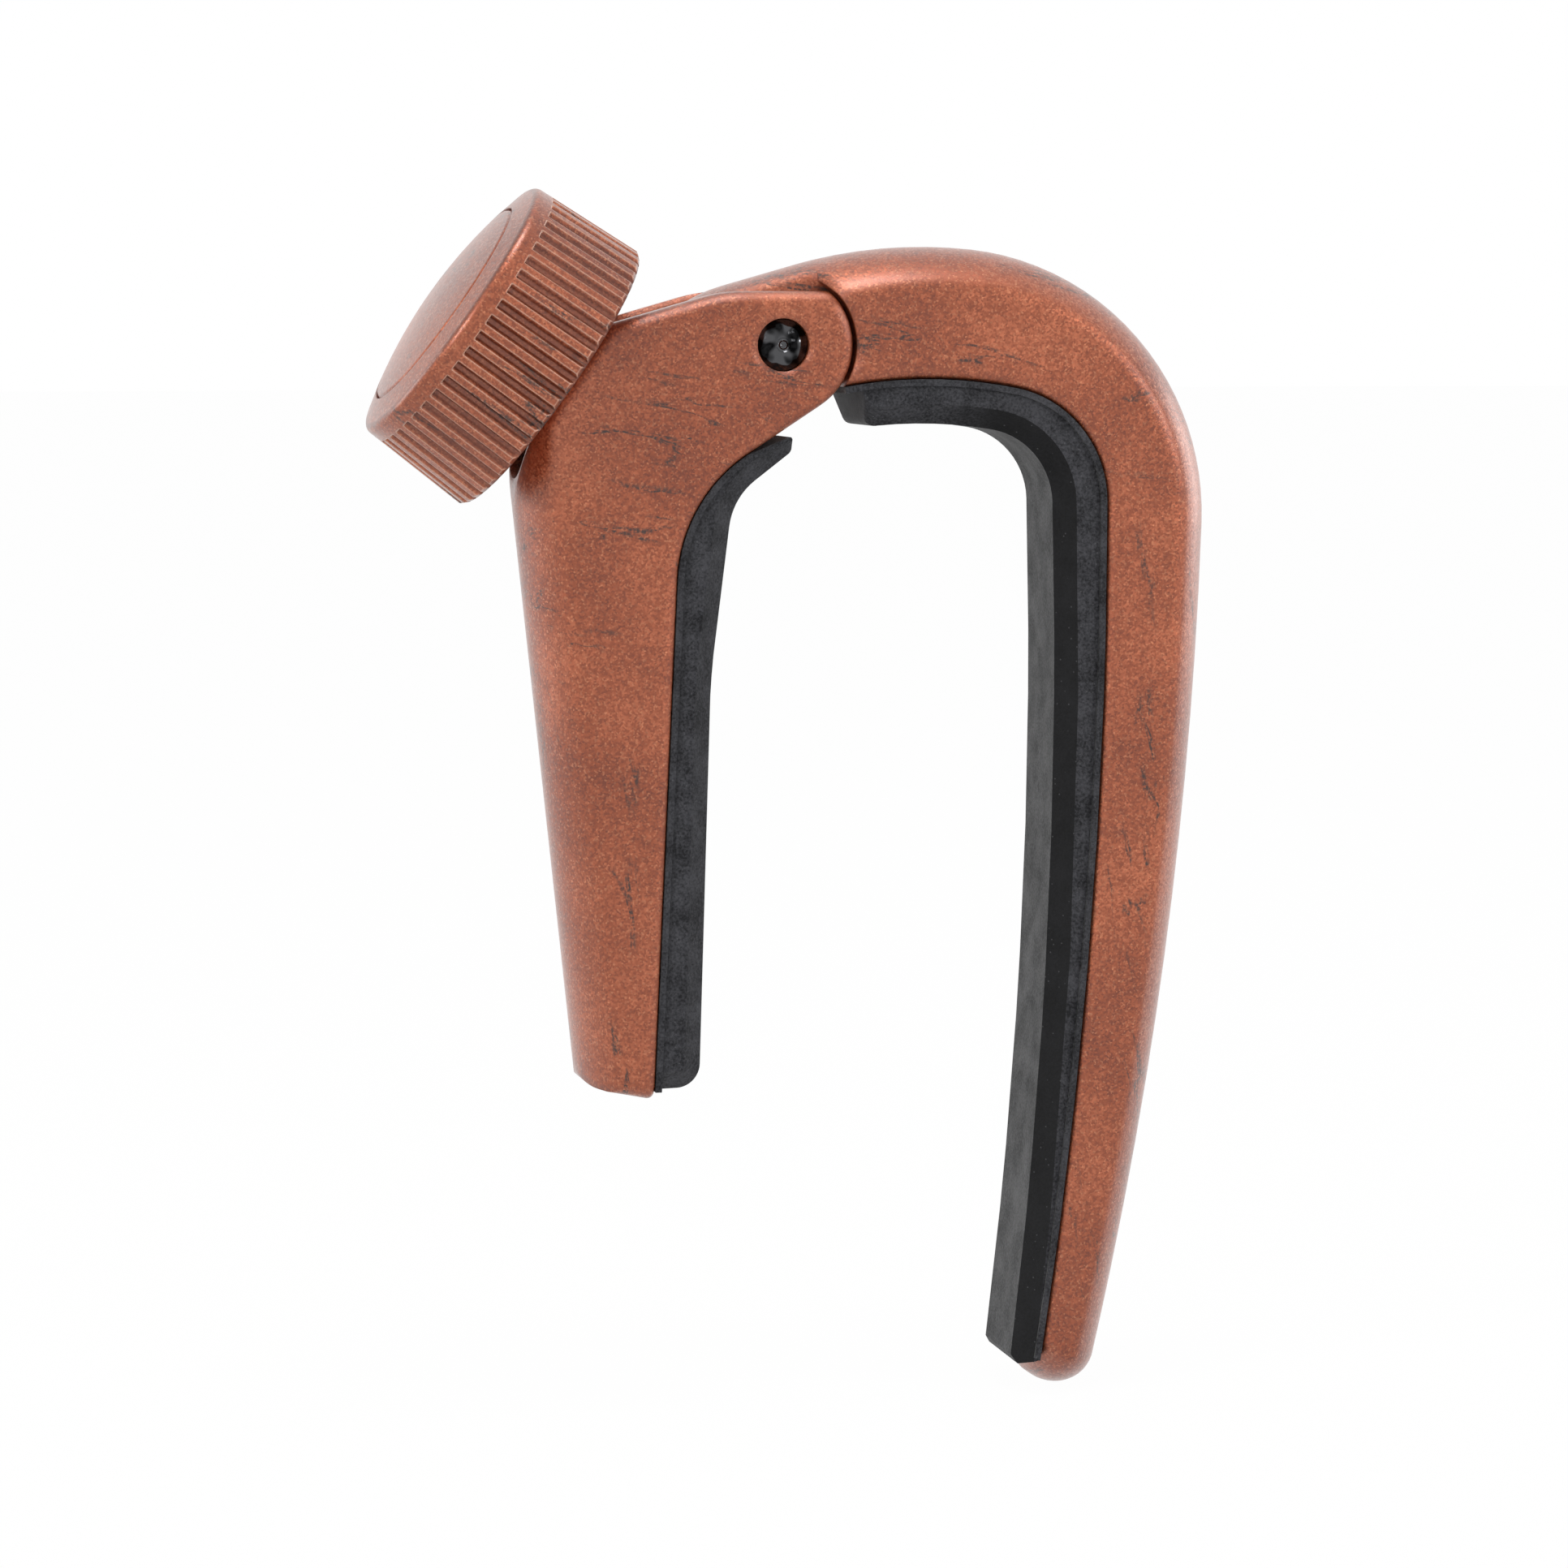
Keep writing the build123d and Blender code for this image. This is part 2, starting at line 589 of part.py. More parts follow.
# ---- knob ----------------------------------------------------------------------------------------
knob_section = Plane(
    origin=knob_plane.origin, x_dir=(0, 1, 0), z_dir=Vector(0, 1, 0).cross(-inward)
)
knob_axis = Axis(knob_plane.origin, -inward)
dome_radius = (knob_rim_radius**2 + knob_dome**2) / (2 * knob_dome)
dome_centre = knob_height + knob_dome - dome_radius


def dome(radius):
    """Height of the domed face above the base of the knob at a radius."""
    return dome_centre + (dome_radius**2 - radius**2) ** 0.5


cap_floor = dome(cap_radius) - cap_seat_depth
with BuildPart() as knob:
    with BuildSketch(knob_section) as knob_profile:
        with BuildLine():
            Polyline(
                (0, cap_floor),
                (0, 0),
                (knob_base_radius, 0),
                (knob_rim_radius, knob_height),
                (cap_radius, dome(cap_radius)),
                (cap_radius, cap_floor),
                (0, cap_floor),
            )
        make_face()
        base_corner = knob_profile.vertices().sort_by_distance(Vector(knob_base_radius, 0))[0]
        chamfer(base_corner, knob_base_chamfer)
        rim_corner = knob_profile.vertices().sort_by_distance(Vector(knob_rim_radius, knob_height))[0]
        fillet(rim_corner, knob_rim_rounding)
    revolve(axis=knob_axis)
    # recess for the thrust washer and hexagon for the head of the screw
    with BuildSketch(knob_plane):
        Circle(washer_radius + washer_recess_play)
    extrude(amount=washer_top, mode=Mode.SUBTRACT)
    with BuildSketch(knob_plane):
        RegularPolygon(screw_head_flats / 2 + press_play, 6, major_radius=False)
    extrude(amount=washer_top + screw_head_height + 0.1, mode=Mode.SUBTRACT)
    # grooves between the ribs, stopped short of the rim
    draft = degrees(acos(knob_height / hypot(knob_height, knob_base_radius - knob_rim_radius)))
    with BuildPart(mode=Mode.PRIVATE) as groove:
        with BuildSketch():
            Polygon(
                (0, -groove_floor / 2),
                (2 * groove_depth, -groove_mouth + groove_floor / 2),
                (2 * groove_depth, groove_mouth - groove_floor / 2),
                (0, groove_floor / 2),
                align=None,
            )
        extrude(amount=knob_height - groove_stop, both=True)
    with Locations(knob_plane):
        with PolarLocations(knob_base_radius - groove_depth, rib_count):
            with Locations(Location((0, 0, 0), (0, -draft, 0))):
                add(groove.part, mode=Mode.SUBTRACT)
knob.part.label = "knob"
export_step(knob.part, "parts/knob.step")

with BuildPart() as knob_cap:
    cap_edge = cap_radius - press_play
    with BuildSketch(knob_section) as cap_profile:
        with BuildLine():
            Polyline(
                (0, dome(0)),
                (0, cap_floor),
                (cap_edge, cap_floor),
                (cap_edge, dome(cap_edge) - cap_chamfer),
                (cap_edge - cap_chamfer, dome(cap_edge - cap_chamfer)),
            )
            shoulder = degrees(acos((cap_edge - cap_chamfer) / dome_radius))
            CenterArc((0, dome_centre), dome_radius, shoulder, 90 - shoulder)
        make_face()
    revolve(axis=knob_axis)
knob_cap.part.label = "knob_cap"
export_step(knob_cap.part, "parts/knob_cap.step")
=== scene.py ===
import json
import math

import bmesh
import bpy
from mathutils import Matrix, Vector


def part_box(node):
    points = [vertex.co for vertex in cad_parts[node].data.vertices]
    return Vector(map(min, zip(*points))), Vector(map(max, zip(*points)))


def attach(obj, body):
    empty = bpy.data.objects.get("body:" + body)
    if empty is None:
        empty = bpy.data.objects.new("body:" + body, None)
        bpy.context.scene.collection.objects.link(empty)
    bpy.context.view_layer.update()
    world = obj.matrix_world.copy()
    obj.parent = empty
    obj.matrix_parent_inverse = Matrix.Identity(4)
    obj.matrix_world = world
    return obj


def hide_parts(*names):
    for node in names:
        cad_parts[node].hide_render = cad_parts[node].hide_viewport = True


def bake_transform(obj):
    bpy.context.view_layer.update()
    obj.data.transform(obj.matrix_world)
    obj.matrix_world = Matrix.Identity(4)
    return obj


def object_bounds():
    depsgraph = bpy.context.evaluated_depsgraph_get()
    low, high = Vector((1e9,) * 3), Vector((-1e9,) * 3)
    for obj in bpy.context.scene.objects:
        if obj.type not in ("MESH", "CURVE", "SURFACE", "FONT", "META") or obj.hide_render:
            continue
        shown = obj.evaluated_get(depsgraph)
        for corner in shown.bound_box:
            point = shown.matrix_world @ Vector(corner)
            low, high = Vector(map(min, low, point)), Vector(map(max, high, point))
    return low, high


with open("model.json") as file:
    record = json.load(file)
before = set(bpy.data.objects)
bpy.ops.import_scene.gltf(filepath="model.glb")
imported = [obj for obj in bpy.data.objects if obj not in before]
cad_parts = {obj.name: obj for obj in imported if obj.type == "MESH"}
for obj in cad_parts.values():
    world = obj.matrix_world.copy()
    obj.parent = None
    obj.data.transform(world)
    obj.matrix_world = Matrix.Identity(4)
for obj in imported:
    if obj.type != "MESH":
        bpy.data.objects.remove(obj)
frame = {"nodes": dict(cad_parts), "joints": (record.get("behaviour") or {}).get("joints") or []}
cad_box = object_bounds()

# A screw-knob capo. Sizes and places are in millimetres and lamp powers in watts; MM turns
# millimetres to Blender's metres. X runs from the neck pad to the string pad, Y along the strings
# and Z up the arms.
MM = 0.001


# ---- small helpers -------------------------------------------------------------------------------
def linear(colour):
    """Linear RGBA of an sRGB hex colour."""
    values = [int(colour[i : i + 2], 16) / 255 for i in (1, 3, 5)]
    return [v / 12.92 if v <= 0.04045 else ((v + 0.055) / 1.055) ** 2.4 for v in values] + [1.0]


def add(tree, kind, settings=None, **inputs):
    """Add a node, set its properties, and set or link its inputs by name or number."""
    node = tree.nodes.new(kind)
    for name, value in (settings or {}).items():
        setattr(node, name, value)
    for name, value in inputs.items():
        socket = node.inputs[int(name[1:])] if name[0] == "_" else node.inputs[name.replace("_", " ")]
        if isinstance(value, bpy.types.NodeSocket):
            tree.links.new(value, socket)
        else:
            socket.default_value = value
    return node


def new_finish(name):
    """An empty finish, and the object's own coordinates in millimetres to lay its detail out."""
    finish = bpy.data.materials.new(name)
    finish.use_nodes = True
    tree = finish.node_tree
    tree.nodes.clear()
    place = add(tree, "ShaderNodeTexCoord").outputs["Object"]
    scaled = add(tree, "ShaderNodeVectorMath", {"operation": "SCALE"}, _0=place, Scale=1 / MM)
    return finish, tree, scaled.outputs[0]


def set_stops(ramp, *stops):
    """Give a colour ramp its stops, as position and hex colour."""
    for (position, colour), old in zip(stops[:2], ramp.color_ramp.elements[:2]):
        old.position = position
        old.color = linear(colour)
    for position, colour in stops[2:]:
        ramp.color_ramp.elements.new(position).color = linear(colour)


def finish_part(name, finish, edge):
    """Give a CAD part its finish, and bevel its creases by a width, where that isn't 0.

    A CAD mesh comes split along its sharp edges, so the bevel reaches only the few creases that
    lie between them. What softens the look of sharp edges is the coat in copper_lacquer.
    """
    part = frame["nodes"][name]
    for slot in part.material_slots:
        slot.material = finish
    if edge:
        rounding = part.modifiers.new("softened edges", "BEVEL")
        rounding.width = edge * MM
        rounding.segments = 2
        rounding.limit_method = "ANGLE"
        rounding.angle_limit = math.radians(28)
        rounding.use_clamp_overlap = True


def in_scene(name, data):
    """A new object that shows a mesh, lamp or camera."""
    thing = bpy.data.objects.new(name, data)
    bpy.context.scene.collection.objects.link(thing)
    return thing


def smooth_piece(name, mesh, finish):
    """A new piece that shows a mesh of its own, smooth shaded and in its finish."""
    mesh.materials.clear()
    mesh.materials.append(finish)
    for polygon in mesh.polygons:
        polygon.use_smooth = True
    return in_scene(name, mesh)


# ---- finishes ------------------------------------------------------------------------------------
def drawn_wisps(tree, place, tilt, shift):
    """Charcoal hairlines drawn out along one direction, as the marbling brush leaves them.

    They are 0.2 to 0.6 mm wide and 2 to 8 mm long, in loose groups with bare lacquer between.
    """
    # the brush draws the pattern out to 10 mm, against 2 mm across it and 3.8 mm along the strings
    lie = add(
        tree, "ShaderNodeMapping", {"vector_type": "TEXTURE"},
        Vector=place, Location=shift, Rotation=(0, tilt, 0), Scale=(10.0, 3.8, 2.0),
    )
    # a hairline runs wherever the grain passes through its middle value
    grain = add(
        tree, "ShaderNodeTexNoise",
        Vector=lie.outputs[0], Scale=1.0, Detail=5.0, Roughness=0.58, Distortion=0.5,
    )
    off = add(tree, "ShaderNodeMath", {"operation": "SUBTRACT"}, _0=grain.outputs["Fac"], _1=0.5)
    away = add(tree, "ShaderNodeMath", {"operation": "ABSOLUTE"}, _0=off.outputs[0])
    line = add(
        tree, "ShaderNodeMapRange", {"interpolation_type": "SMOOTHSTEP"},
        Value=away.outputs[0], From_Min=0.004, From_Max=0.034, To_Min=1.0, To_Max=0.0,
    )
    # the brush touches down in patches of about 12 by 3 mm
    groups = add(
        tree, "ShaderNodeTexNoise",
        Vector=lie.outputs[0], Scale=0.8, Detail=2.0, Roughness=0.5, Distortion=0.3,
    )
    group = add(
        tree, "ShaderNodeMapRange", {"interpolation_type": "SMOOTHSTEP"},
        Value=groups.outputs["Fac"], From_Min=0.555, From_Max=0.64, To_Min=0.0, To_Max=1.0,
    )
    return add(
        tree, "ShaderNodeMath", {"operation": "MULTIPLY"}, _0=line.outputs[0], _1=group.outputs[0]
    ).outputs[0]


def rib_highlights_and_shade(tree, place, flowed, coated, foot, axis, foot_radius, taper):
    """Painted highlights pale the shoulders of the knob's ribs; painted shade darkens the grooves
    between.

    The ribs' crests lie on a cone about the screw's axis. It has its radius at the foot, and
    narrows by the taper for each millimetre towards the knob's face.
    """
    offset = add(tree, "ShaderNodeVectorMath", {"operation": "SUBTRACT"}, _0=place, _1=foot)
    height = add(
        tree, "ShaderNodeVectorMath", {"operation": "DOT_PRODUCT"}, _0=offset.outputs[0], _1=axis
    )
    cross = add(
        tree, "ShaderNodeVectorMath", {"operation": "CROSS_PRODUCT"}, _0=offset.outputs[0], _1=axis
    )
    radius = add(tree, "ShaderNodeVectorMath", {"operation": "LENGTH"}, _0=cross.outputs[0])
    level = add(
        tree, "ShaderNodeMath", {"operation": "MULTIPLY_ADD"},
        _0=height.outputs["Value"], _1=taper, _2=radius.outputs["Value"],
    )
    # the grooves are 0.34 mm deep; what lies over 0.55 mm inside the crests is the knob's face
    crest = add(
        tree, "ShaderNodeMapRange", {"interpolation_type": "SMOOTHSTEP"},
        Value=level.outputs[0], From_Min=foot_radius - 0.24, From_Max=foot_radius - 0.07,
        To_Min=0.0, To_Max=1.0,
    )
    groove_shade = add(
        tree, "ShaderNodeMapRange", {"interpolation_type": "SMOOTHSTEP"},
        Value=level.outputs[0], From_Min=foot_radius - 0.55, From_Max=foot_radius - 0.40,
        To_Min=0.0, To_Max=0.50,
    )
    # painted shade in the grooves: darker copper where the grooves lie, short of the crests
    kept = add(tree, "ShaderNodeMath", {"operation": "SUBTRACT"}, _0=1.0, _1=crest.outputs[0])
    dark = add(
        tree, "ShaderNodeMath", {"operation": "MULTIPLY"}, _0=groove_shade.outputs[0], _1=kept.outputs[0]
    )
    shaded = add(
        tree, "ShaderNodeMix", {"data_type": "RGBA"},
        _0=dark.outputs[0], _6=coated, _7=linear("#4E2010"),
    )
    # beside an edge the coat flows round it, and turns away from the metal's true direction;
    # there the ribs' shoulders get a painted highlight of pale copper
    true = add(tree, "ShaderNodeNewGeometry").outputs["True Normal"]
    agree = add(tree, "ShaderNodeVectorMath", {"operation": "DOT_PRODUCT"}, _0=true, _1=flowed)
    turned = add(
        tree, "ShaderNodeMapRange", {"interpolation_type": "SMOOTHSTEP"},
        Value=agree.outputs["Value"], From_Min=0.90, From_Max=0.99, To_Min=0.72, To_Max=0.0,
    )
    shoulder_highlight = add(
        tree, "ShaderNodeMath", {"operation": "MULTIPLY"}, _0=turned.outputs[0], _1=crest.outputs[0]
    )
    return add(
        tree, "ShaderNodeMix", {"data_type": "RGBA"},
        _0=shoulder_highlight.outputs[0], _6=shaded.outputs[2], _7=linear("#E6BCA4"),
    ).outputs[2]


def copper_lacquer(name, softness, high_tilt, low_tilt, turn_from, turn_to, shift, ribs=None):
    """Copper-bronze metallic lacquer sprayed on a zinc casting, under a satin clear coat.

    The flake glitters finely, the clear coat gives a pale bloom at low angles, and brushed marbling
    leaves sparse charcoal wisps, which change their tilt between two heights. The coat flows round
    the cast edges and softens them over a width.
    """
    finish, tree, place = new_finish(name)
    # flake of about 0.05 mm, drawn at 0.15 mm so that it shows
    flakes = add(tree, "ShaderNodeTexVoronoi", {"feature": "F1"}, Vector=place, Scale=7.0)
    flake = add(tree, "ShaderNodeSeparateColor", Color=flakes.outputs["Color"])
    # clumps of flake, 0.5 to 1 mm, and the slow drift of the spray coat, 10 mm
    clumps = add(tree, "ShaderNodeTexNoise", Vector=place, Scale=1.5, Detail=3.0, Roughness=0.6)
    drift = add(tree, "ShaderNodeTexNoise", Vector=place, Scale=0.11, Detail=2.0, Roughness=0.5)
    clumped = add(
        tree, "ShaderNodeMath", {"operation": "MULTIPLY_ADD"},
        _0=clumps.outputs["Fac"], _1=0.55, _2=drift.outputs["Fac"],
    )
    tone = add(
        tree, "ShaderNodeMath", {"operation": "MULTIPLY_ADD"},
        _0=flake.outputs["Red"], _1=0.50, _2=clumped.outputs[0],
    )
    halved = add(tree, "ShaderNodeMath", {"operation": "MULTIPLY"}, _0=tone.outputs[0], _1=0.5)
    copper = add(tree, "ShaderNodeValToRGB", Fac=halved.outputs[0])
    set_stops(copper, (0.31, "#722E0F"), (0.72, "#B4613C"), (0.52, "#92431C"))
    # one flake in five lies flat and shines, as a painted glint of lighter copper
    painted_glint = add(
        tree, "ShaderNodeMapRange",
        Value=flake.outputs["Green"], From_Min=0.80, From_Max=1.0, To_Min=0.0, To_Max=0.42,
    )
    glittered = add(
        tree, "ShaderNodeMix", {"data_type": "RGBA"},
        _0=painted_glint.outputs[0], _6=copper.outputs["Color"], _7=linear("#D28A62"),
    )
    flowed = add(tree, "ShaderNodeBevel", {"samples": 6}, Radius=softness * MM).outputs["Normal"]
    coated = glittered.outputs[2]
    if ribs:
        coated = rib_highlights_and_shade(tree, place, flowed, coated, *ribs)
    # wisps have one tilt near the top of a casting and another lower down
    height = add(tree, "ShaderNodeSeparateXYZ", Vector=place).outputs["Z"]
    high = add(
        tree, "ShaderNodeMapRange", {"interpolation_type": "SMOOTHSTEP"},
        Value=height, From_Min=turn_from, From_Max=turn_to, To_Min=0.0, To_Max=1.0,
    )
    wisps = add(
        tree, "ShaderNodeMix", {"data_type": "FLOAT"},
        _0=high.outputs[0],
        _2=drawn_wisps(tree, place, low_tilt, shift),
        _3=drawn_wisps(tree, place, high_tilt, shift),
    )
    # the flake breaks a wisp up in specks of 0.3 mm
    speckle = add(tree, "ShaderNodeTexNoise", Vector=place, Scale=3.6, Detail=2.0, Roughness=0.7)
    broken = add(
        tree, "ShaderNodeMapRange",
        Value=speckle.outputs["Fac"], From_Min=0.38, From_Max=0.56, To_Min=0.10, To_Max=0.92,
    )
    wisp = add(
        tree, "ShaderNodeMath", {"operation": "MULTIPLY"}, _0=wisps.outputs[0], _1=broken.outputs[0]
    )
    colour = add(
        tree, "ShaderNodeMix", {"data_type": "RGBA"},
        _0=wisp.outputs[0], _6=coated, _7=linear("#241A17"),
    )
    # each flake leans a few degrees off the surface, over the orange peel of the coat, 1 to 2 mm
    lean = add(
        tree, "ShaderNodeVectorMath", {"operation": "SUBTRACT"},
        _0=flakes.outputs["Color"], _1=(0.5, 0.5, 0.5),
    )
    slight = add(tree, "ShaderNodeVectorMath", {"operation": "SCALE"}, _0=lean.outputs[0], Scale=0.22)
    leaned = add(tree, "ShaderNodeVectorMath", {"operation": "ADD"}, _0=flowed, _1=slight.outputs[0])
    flat = add(tree, "ShaderNodeVectorMath", {"operation": "NORMALIZE"}, _0=leaned.outputs[0])
    peel = add(tree, "ShaderNodeTexNoise", Vector=place, Scale=0.7, Detail=2.0, Roughness=0.4)
    wavy = add(
        tree, "ShaderNodeBump",
        Strength=0.25, Distance=0.06 * MM, Height=peel.outputs["Fac"], Normal=flat.outputs[0],
    )
    clear = add(
        tree, "ShaderNodeBump",
        Strength=0.20, Distance=0.05 * MM, Height=clumps.outputs["Fac"], Normal=flowed,
    )
    rough = add(
        tree, "ShaderNodeMapRange",
        Value=clumps.outputs["Fac"], From_Min=0.3, From_Max=0.7, To_Min=0.36, To_Max=0.48,
    )
    shader = add(
        tree, "ShaderNodeBsdfPrincipled",
        Base_Color=colour.outputs[2], Metallic=0.70, Roughness=rough.outputs[0],
        Normal=wavy.outputs[0], Coat_Weight=1.0, Coat_Roughness=0.30, Coat_Normal=clear.outputs[0],
    )
    add(tree, "ShaderNodeOutputMaterial", Surface=shader.outputs[0])
    return finish


def moulded_rubber(name, bevel_from, bevel_to, string_from, neck_to):
    """Compression-moulded silicone rubber, charcoal and matt, with the grain of the blasted mould.

    The bevel down the string arm is smoother, and darker with painted shade that comes in between
    two places along X. The pressing faces are painted pale with a painted sheen: the string pad's
    beyond one place along X, and the neck pad's short of another.
    """
    finish, tree, place = new_finish(name)
    # mould grain of 0.1 mm, drawn at 0.2 mm so that it shows
    grain = add(tree, "ShaderNodeTexNoise", Vector=place, Scale=5.0, Detail=3.0, Roughness=0.7)
    cloudy = add(tree, "ShaderNodeTexNoise", Vector=place, Scale=0.4, Detail=3.0, Roughness=0.55)
    tone = add(
        tree, "ShaderNodeMath", {"operation": "MULTIPLY_ADD"},
        _0=cloudy.outputs["Fac"], _1=0.6, _2=grain.outputs["Fac"],
    )
    charcoal = add(tree, "ShaderNodeValToRGB", Fac=tone.outputs[0])
    set_stops(charcoal, (0.62, "#101013"), (0.98, "#444448"))
    # painted shade: a darker copy of the charcoal for the bevel
    bevel_shade = add(tree, "ShaderNodeValToRGB", Fac=tone.outputs[0])
    set_stops(bevel_shade, (0.60, "#040405"), (1.0, "#1A1A1C"))
    # painted sheen: a paler copy of the charcoal for the pressing faces
    face_sheen = add(tree, "ShaderNodeValToRGB", Fac=tone.outputs[0])
    set_stops(face_sheen, (0.60, "#161617"), (1.0, "#5C5C5D"))
    # how squarely the surface looks along the strings: 1 on the sides, 0.7 on bevels, 0 on a face;
    # the colour follows it, with painted shade on the bevel and a painted sheen on the faces
    normal = add(tree, "ShaderNodeNewGeometry").outputs["Normal"]
    sideways = add(tree, "ShaderNodeSeparateXYZ", Vector=normal).outputs["Y"]
    square = add(tree, "ShaderNodeMath", {"operation": "ABSOLUTE"}, _0=sideways)
    on_face = add(
        tree, "ShaderNodeMapRange", {"interpolation_type": "SMOOTHSTEP"},
        Value=square.outputs[0], From_Min=0.10, From_Max=0.50, To_Min=1.0, To_Max=0.0,
    )
    on_side = add(
        tree, "ShaderNodeMapRange", {"interpolation_type": "SMOOTHSTEP"},
        Value=square.outputs[0], From_Min=0.80, From_Max=0.97, To_Min=0.0, To_Max=1.0,
    )
    reach = add(tree, "ShaderNodeSeparateXYZ", Vector=place).outputs["X"]
    before_bevel = add(
        tree, "ShaderNodeMapRange", {"interpolation_type": "SMOOTHSTEP"},
        Value=reach, From_Min=bevel_from, From_Max=bevel_to, To_Min=1.0, To_Max=0.0,
    )
    outside_bevel_shade = add(
        tree, "ShaderNodeMath", {"operation": "MAXIMUM"},
        _0=on_side.outputs[0], _1=before_bevel.outputs[0],
    )
    sides = add(
        tree, "ShaderNodeMix", {"data_type": "RGBA"},
        _0=outside_bevel_shade.outputs[0], _6=bevel_shade.outputs["Color"], _7=charcoal.outputs["Color"],
    )
    # the painted sheen reaches only the pressing parts of the pads along X
    on_strings = add(
        tree, "ShaderNodeMapRange",
        Value=reach, From_Min=string_from, From_Max=string_from + 0.8, To_Min=0.0, To_Max=1.0,
    )
    on_neck = add(tree, "ShaderNodeMath", {"operation": "LESS_THAN"}, _0=reach, _1=neck_to)
    sheen_reach = add(
        tree, "ShaderNodeMath", {"operation": "MAXIMUM"},
        _0=on_strings.outputs[0], _1=on_neck.outputs[0],
    )
    sheen_mask = add(
        tree, "ShaderNodeMath", {"operation": "MULTIPLY"}, _0=on_face.outputs[0], _1=sheen_reach.outputs[0]
    )
    colour = add(
        tree, "ShaderNodeMix", {"data_type": "RGBA"},
        _0=sheen_mask.outputs[0], _6=sides.outputs[2], _7=face_sheen.outputs["Color"],
    )
    # specks of dust and moulding talc, 0.1 mm, about 0.6 mm apart
    specks = add(tree, "ShaderNodeTexVoronoi", {"feature": "F1"}, Vector=place, Scale=1.6)
    speck = add(
        tree, "ShaderNodeMapRange",
        Value=specks.outputs["Distance"], From_Min=0.07, From_Max=0.12, To_Min=0.30, To_Max=0.0,
    )
    dusted = add(
        tree, "ShaderNodeMix", {"data_type": "RGBA"},
        _0=speck.outputs[0], _6=colour.outputs[2], _7=linear("#6A6A6D"),
    )
    bump = add(
        tree, "ShaderNodeBump", Strength=0.6, Distance=0.06 * MM, Height=grain.outputs["Fac"]
    )
    rough = add(
        tree, "ShaderNodeMapRange",
        Value=grain.outputs["Fac"], From_Min=0.3, From_Max=0.7, To_Min=0.55, To_Max=0.72,
    )
    shader = add(
        tree, "ShaderNodeBsdfPrincipled",
        Base_Color=dusted.outputs[2], Roughness=rough.outputs[0], IOR=1.43,
        Specular_IOR_Level=0.25, Normal=bump.outputs[0],
    )
    add(tree, "ShaderNodeOutputMaterial", Surface=shader.outputs[0])
    return finish


def blacked_steel(name, pin_x, pin_z):
    """Riveted steel pin with a black oxide finish; its domed head mirrors the lamps in dark grey.

    The riveting tool leaves a small ring mark at the middle of the head, with dents round it.
    """
    finish, tree, place = new_finish(name)
    # the oxide is uneven, over 0.5 mm or so
    uneven = add(tree, "ShaderNodeTexNoise", Vector=place, Scale=1.8, Detail=5.0, Roughness=0.7)
    oxide = add(tree, "ShaderNodeValToRGB", Fac=uneven.outputs["Fac"])
    set_stops(oxide, (0.40, "#0A0A0B"), (0.75, "#262627"))
    rough = add(
        tree, "ShaderNodeMapRange",
        Value=uneven.outputs["Fac"], From_Min=0.3, From_Max=0.7, To_Min=0.06, To_Max=0.16,
    )
    # ring mark, 0.8 mm across
    flattened = add(
        tree, "ShaderNodeVectorMath", {"operation": "MULTIPLY"}, _0=place, _1=(1.0, 0.0, 1.0)
    )
    reach = add(
        tree, "ShaderNodeVectorMath", {"operation": "DISTANCE"},
        _0=flattened.outputs[0], _1=(pin_x, 0.0, pin_z),
    )
    ring = add(tree, "ShaderNodeMath", {"operation": "SUBTRACT"}, _0=reach.outputs["Value"], _1=0.4)
    beside = add(tree, "ShaderNodeMath", {"operation": "ABSOLUTE"}, _0=ring.outputs[0])
    mark = add(
        tree, "ShaderNodeMapRange", {"interpolation_type": "SMOOTHSTEP"},
        Value=beside.outputs[0], From_Min=0.04, From_Max=0.16, To_Min=0.0, To_Max=1.0,
    )
    # hammered dents of 1 to 1.5 mm, deepest at the mark, catch the lamps
    dents = add(tree, "ShaderNodeTexNoise", Vector=place, Scale=0.75, Detail=1.0, Roughness=0.5)
    struck = add(
        tree, "ShaderNodeMapRange", {"interpolation_type": "SMOOTHSTEP"},
        Value=reach.outputs["Value"], From_Min=0.4, From_Max=2.2, To_Min=2.6, To_Max=0.6,
    )
    worn = add(
        tree, "ShaderNodeMath", {"operation": "MULTIPLY_ADD"},
        _0=dents.outputs["Fac"], _1=struck.outputs[0], _2=mark.outputs[0],
    )
    bump = add(tree, "ShaderNodeBump", Strength=1.0, Distance=0.18 * MM, Height=worn.outputs[0])
    # what stands up between the dents is burnished grey
    burnish = add(
        tree, "ShaderNodeMapRange", {"interpolation_type": "SMOOTHSTEP"},
        Value=dents.outputs["Fac"], From_Min=0.46, From_Max=0.60, To_Min=0.0, To_Max=1.0,
    )
    colour = add(
        tree, "ShaderNodeMix", {"data_type": "RGBA"},
        _0=burnish.outputs[0], _6=oxide.outputs["Color"], _7=linear("#525254"),
    )
    shader = add(
        tree, "ShaderNodeBsdfPrincipled",
        Base_Color=colour.outputs[2], Metallic=1.0, Roughness=rough.outputs[0],
        Normal=bump.outputs[0],
    )
    add(tree, "ShaderNodeOutputMaterial", Surface=shader.outputs[0])
    return finish


